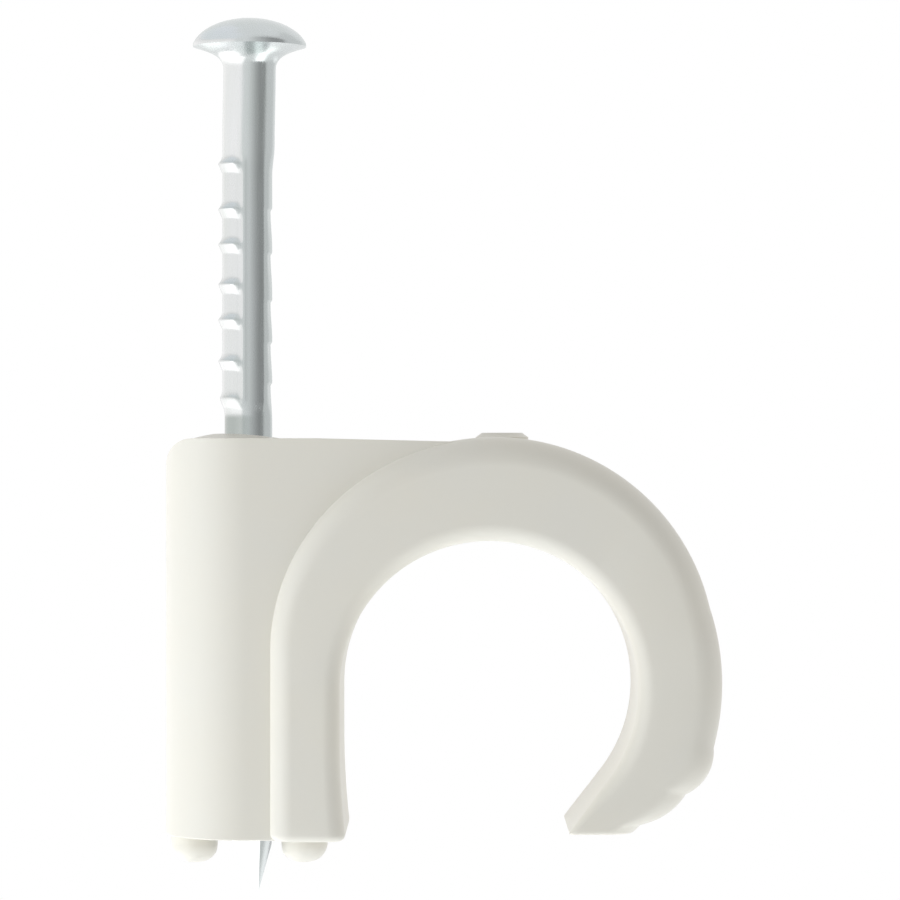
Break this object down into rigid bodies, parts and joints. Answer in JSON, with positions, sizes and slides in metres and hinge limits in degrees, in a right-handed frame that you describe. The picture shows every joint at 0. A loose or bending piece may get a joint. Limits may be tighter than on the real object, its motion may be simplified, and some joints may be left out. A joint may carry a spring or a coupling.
{
  "type": "nail in cable clip",
  "caption": "Moulded plastic cable clip with a hooked seat for a round cable and a barbed galvanised nail held part-way through its barrel.",
  "frame": {"origin": "on the nail's axis in the plane of the wall, where the clip's two feet touch it", "axes": "+Z runs out of the wall, up the nail to its head; +X runs from the nail to the hook; Y = 0 is the clip's plane of symmetry"},
  "size_m": [0.0225, 0.0084, 0.0356],
  "materials": {
    "clip_plastic": "satin moulded plastic, warm light grey",
    "nail_zinc": "bright zinc plating on drawn steel wire"
  },
  "bodies": {
    "clip": {"clip_body": "clip_plastic"},
    "nail": {"nail": "nail_zinc"}
  },
  "joints": [
    {"name": "nail_drive", "type": "slide", "parent": "clip", "child": "nail", "axis": [0, 0, -1], "range_m": [0, 0.0154]}
  ]
}
